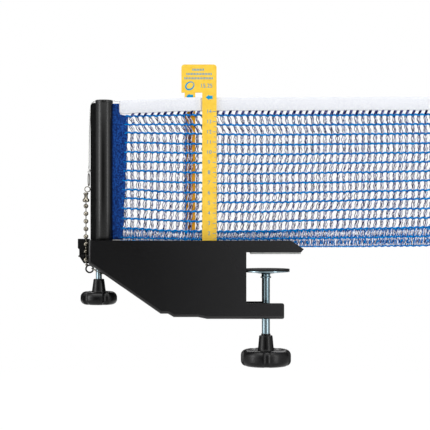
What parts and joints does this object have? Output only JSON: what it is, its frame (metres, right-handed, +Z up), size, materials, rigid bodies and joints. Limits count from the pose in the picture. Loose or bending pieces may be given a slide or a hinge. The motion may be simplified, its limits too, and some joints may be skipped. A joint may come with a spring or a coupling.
{
  "type": "table tennis net clamp",
  "caption": "Sheet-steel screw clamp with an adjustable round net post, bead-chain tension cord, a stretch of net and a slip-on height gauge.",
  "frame": {"origin": "on the upper jaw's rubber face, where the clamp screw's axis meets it; the table's top surface lies at Z = 0", "axes": "+Z up, +X from the post towards the table's centre line, +Y away from the side in the picture"},
  "size_m": [0.3577, 0.0491, 0.2966],
  "materials": {
    "black_steel": "satin powder coat",
    "post_black": "satin anodised tube",
    "zinc": "bright zinc plate",
    "chain_nickel": "warm nickel plate",
    "knob_black": "moulded, semi-gloss",
    "guide_black": "moulded",
    "pad_grey": "soft pad",
    "pad_black": "soft pad",
    "net_blue": "knotted net",
    "sleeve_navy": "woven hem",
    "tape_white": "cotton band",
    "cord_white": "braided cord",
    "rod_grey": "plain",
    "gauge_yellow": "printed plate"
  },
  "bodies": {
    "bracket": {"front_plate": "black_steel", "rear_plate": "black_steel", "jaw_web": "black_steel", "upper_jaw_pad": "pad_grey", "clamp_nut": "zinc", "post_guide": "guide_black", "guide_rivets": "black_steel", "height_nut_plate": "black_steel", "height_nut": "zinc", "chain_cleat": "black_steel", "cleat_rivets": "black_steel", "bead_chain": "chain_nickel", "chain_connector": "chain_nickel", "link_ring": "chain_nickel", "cord_hook": "chain_nickel", "cord_knot": "cord_white", "end_ring": "chain_nickel", "chain_tail": "chain_nickel", "screw_loop": "chain_nickel"},
    "pressure_foot": {"pressure_pad": "pad_black", "pressure_plate": "zinc", "swivel_socket": "zinc"},
    "clamp_screw": {"clamp_screw": "zinc", "clamp_screw_clip": "zinc", "clamp_knob": "knob_black"},
    "post": {"post_tube": "post_black", "post_foot": "guide_black", "post_cap": "knob_black", "net_sleeve": "sleeve_navy", "sleeve_rod": "rod_grey", "net_mesh": "net_blue", "net_tape": "tape_white", "far_hem": "sleeve_navy", "tension_cord": "cord_white"},
    "height_screw": {"height_screw": "zinc", "height_screw_clip": "zinc", "height_thrust_washer": "zinc", "height_knob": "knob_black"},
    "gauge": {"height_gauge": "gauge_yellow"}
  },
  "joints": [
    {"name": "clamp_slide", "type": "slide", "parent": "bracket", "child": "pressure_foot", "axis": [0, 0, 1], "range_m": [-0.023, 0.014]},
    {"name": "clamp_screw_turn", "type": "hinge", "parent": "pressure_foot", "child": "clamp_screw", "pos_m": [0, 0, -0.05], "axis": [0, 0, 1], "range_deg": [-6626, 4034]},
    {"name": "post_lift", "type": "slide", "parent": "bracket", "child": "post", "axis": [0, 0, 1], "range_m": [-0.002, 0.004]},
    {"name": "height_screw_turn", "type": "hinge", "parent": "post", "child": "height_screw", "pos_m": [-0.1645, 0, -0.02], "axis": [0, 0, 1], "range_deg": [-722, 1442]},
    {"name": "gauge_lift", "type": "slide", "parent": "bracket", "child": "gauge", "axis": [0, 0, 1], "range_m": [0, 0.16]}
  ],
  "couplings": [
    {"joint": "clamp_screw_turn", "follows": "clamp_slide", "rad_per_m": 5026.5},
    {"joint": "height_screw_turn", "follows": "post_lift", "rad_per_m": 6283.2}
  ]
}
